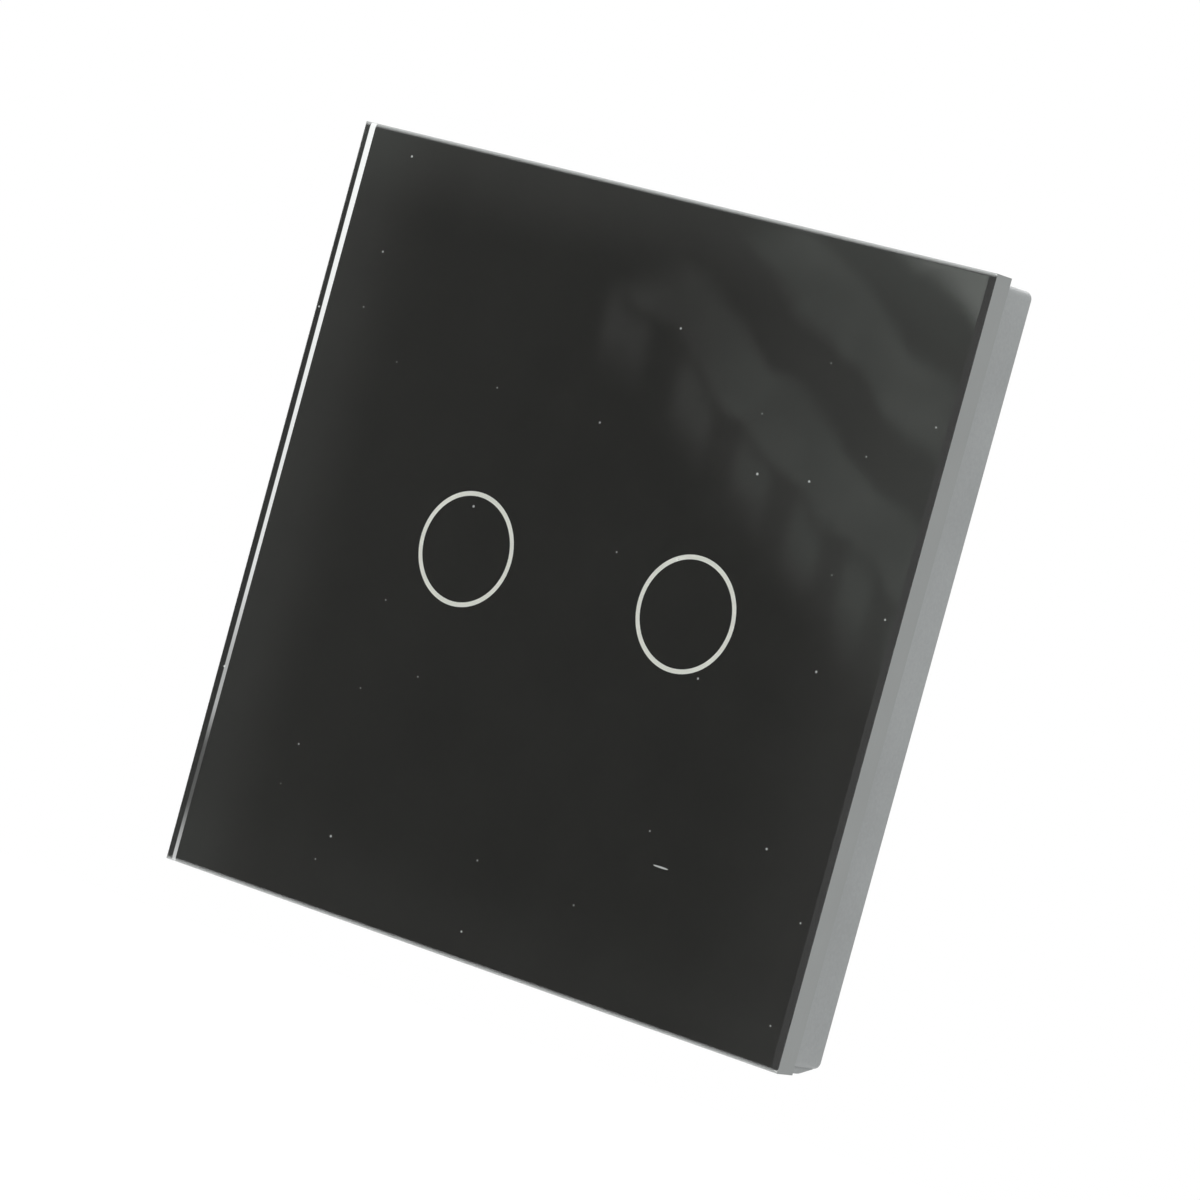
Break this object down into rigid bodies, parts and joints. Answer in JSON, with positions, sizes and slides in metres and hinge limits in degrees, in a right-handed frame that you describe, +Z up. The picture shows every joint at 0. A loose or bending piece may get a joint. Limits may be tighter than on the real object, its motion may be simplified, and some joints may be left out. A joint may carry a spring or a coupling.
{
  "type": "touch light switch",
  "caption": "Square glass-faced touch light switch with ring touch marks, clip-on panel, in-wall relay module, screw terminals and a steel strap for a wall box.",
  "frame": {"origin": "on the wall plane, at the middle of the strap's back face, midway between the box screw slots", "axes": "+X right, +Z up, -Y out of the wall towards the user (the glass faces -Y), +Y into the wall box"},
  "size_m": [0.08, 0.0332, 0.08],
  "materials": {
    "clear_glass": "polished, ground edges",
    "black_print": "screen-printed ink",
    "white_print": "translucent ink",
    "foam_tape": "matt",
    "grey_plastic": "fine moulded texture",
    "dark_plastic": "fine moulded texture",
    "zinc_steel": "zinc plated",
    "screw_steel": "zinc plated",
    "spring_steel": "bright drawn",
    "soft_iron": "nickel plated",
    "clear_acrylic": "milky, translucent",
    "board_green": "solder mask",
    "fish_paper": "smooth",
    "led_white": "moulded",
    "chip_black": "moulded epoxy",
    "tinned_copper": "tinned",
    "resistor_ceramic": "coated",
    "header_plastic": "moulded",
    "gold_pins": "gold flashed",
    "relay_plastic": "moulded",
    "bobbin_plastic": "moulded",
    "copper_wire": "enamelled winding",
    "contact_bronze": "rolled",
    "can_sleeve": "shrunk sleeve",
    "film_yellow": "moulded box",
    "ferrite": "sintered",
    "winding_tape": "polyester tape",
    "varistor_blue": "dipped coating",
    "fuse_brown": "moulded",
    "terminal_plastic": "moulded",
    "terminal_copper": "rolled",
    "cage_steel": "yellow zinc plated"
  },
  "bodies": {
    "module": {"mounting_strap": "zinc_steel", "insulation_sheet": "fish_paper", "front_cover": "dark_plastic", "case_screws": "screw_steel", "light_guide_left": "clear_acrylic", "light_guide_right": "clear_acrylic", "touch_spring_left": "spring_steel", "touch_spring_right": "spring_steel", "touch_board": "board_green", "indicator_leds": "led_white", "touch_chip": "chip_black", "touch_chip_leads": "tinned_copper", "board_resistors": "resistor_ceramic", "header_strip": "header_plastic", "header_pins": "gold_pins", "header_socket": "header_plastic", "power_board": "board_green", "relay_bases": "relay_plastic", "relay_cases": "relay_plastic", "relay_yokes": "soft_iron", "relay_bobbins": "bobbin_plastic", "relay_windings": "copper_wire", "relay_fixed_contacts": "contact_bronze", "bulk_capacitor": "can_sleeve", "film_capacitor": "film_yellow", "transformer_core": "ferrite", "transformer_winding": "winding_tape", "varistor": "varistor_blue", "fuse": "fuse_brown", "bridge_rectifier": "chip_black", "terminal_block": "terminal_plastic", "terminal_bars": "terminal_copper", "rear_housing": "dark_plastic"},
    "panel": {"glass_panel": "clear_glass", "panel_print": "black_print", "ring_window_left": "white_print", "ring_window_right": "white_print", "panel_tape": "foam_tape", "panel_frame": "grey_plastic"},
    "armature_left": {"relay_armature_left": "soft_iron", "relay_leaf_left": "contact_bronze"},
    "armature_right": {"relay_armature_right": "soft_iron", "relay_leaf_right": "contact_bronze"},
    "screw_1": {"terminal_screw_1": "screw_steel"},
    "cage_1": {"terminal_cage_1": "cage_steel"},
    "screw_2": {"terminal_screw_2": "screw_steel"},
    "cage_2": {"terminal_cage_2": "cage_steel"},
    "screw_3": {"terminal_screw_3": "screw_steel"},
    "cage_3": {"terminal_cage_3": "cage_steel"},
    "screw_4": {"terminal_screw_4": "screw_steel"},
    "cage_4": {"terminal_cage_4": "cage_steel"}
  },
  "joints": [
    {"name": "panel_lift", "type": "slide", "parent": "module", "child": "panel", "axis": [0, -1, 0], "range_m": [0, 0.015]},
    {"name": "armature_left_pull", "type": "hinge", "parent": "module", "child": "armature_left", "pos_m": [-0.013, 0.0191, 0.013], "axis": [0, 0, -1], "range_deg": [0, 3.5], "stiffness_Nm_per_rad": 0.002, "springref_deg": -2.86},
    {"name": "armature_right_pull", "type": "hinge", "parent": "module", "child": "armature_right", "pos_m": [0.013, 0.0191, 0.013], "axis": [0, 0, 1], "range_deg": [0, 3.5], "stiffness_Nm_per_rad": 0.002, "springref_deg": -2.86},
    {"name": "screw_1_turn", "type": "hinge", "parent": "module", "child": "screw_1", "pos_m": [-0.0114, 0.019, -0.0165], "axis": [0, -1, 0], "range_deg": [0, 1800]},
    {"name": "cage_1_rise", "type": "slide", "parent": "module", "child": "cage_1", "axis": [0, 1, 0], "range_m": [0, 0.0025]},
    {"name": "screw_2_turn", "type": "hinge", "parent": "module", "child": "screw_2", "pos_m": [-0.0038, 0.019, -0.0165], "axis": [0, -1, 0], "range_deg": [0, 1800]},
    {"name": "cage_2_rise", "type": "slide", "parent": "module", "child": "cage_2", "axis": [0, 1, 0], "range_m": [0, 0.0025]},
    {"name": "screw_3_turn", "type": "hinge", "parent": "module", "child": "screw_3", "pos_m": [0.0038, 0.019, -0.0165], "axis": [0, -1, 0], "range_deg": [0, 1800]},
    {"name": "cage_3_rise", "type": "slide", "parent": "module", "child": "cage_3", "axis": [0, 1, 0], "range_m": [0, 0.0025]},
    {"name": "screw_4_turn", "type": "hinge", "parent": "module", "child": "screw_4", "pos_m": [0.0114, 0.019, -0.0165], "axis": [0, -1, 0], "range_deg": [0, 1800]},
    {"name": "cage_4_rise", "type": "slide", "parent": "module", "child": "cage_4", "axis": [0, 1, 0], "range_m": [0, 0.0025]}
  ],
  "couplings": [
    {"joint": "screw_1_turn", "follows": "cage_1_rise", "rad_per_m": 12566},
    {"joint": "screw_2_turn", "follows": "cage_2_rise", "rad_per_m": 12566},
    {"joint": "screw_3_turn", "follows": "cage_3_rise", "rad_per_m": 12566},
    {"joint": "screw_4_turn", "follows": "cage_4_rise", "rad_per_m": 12566}
  ]
}
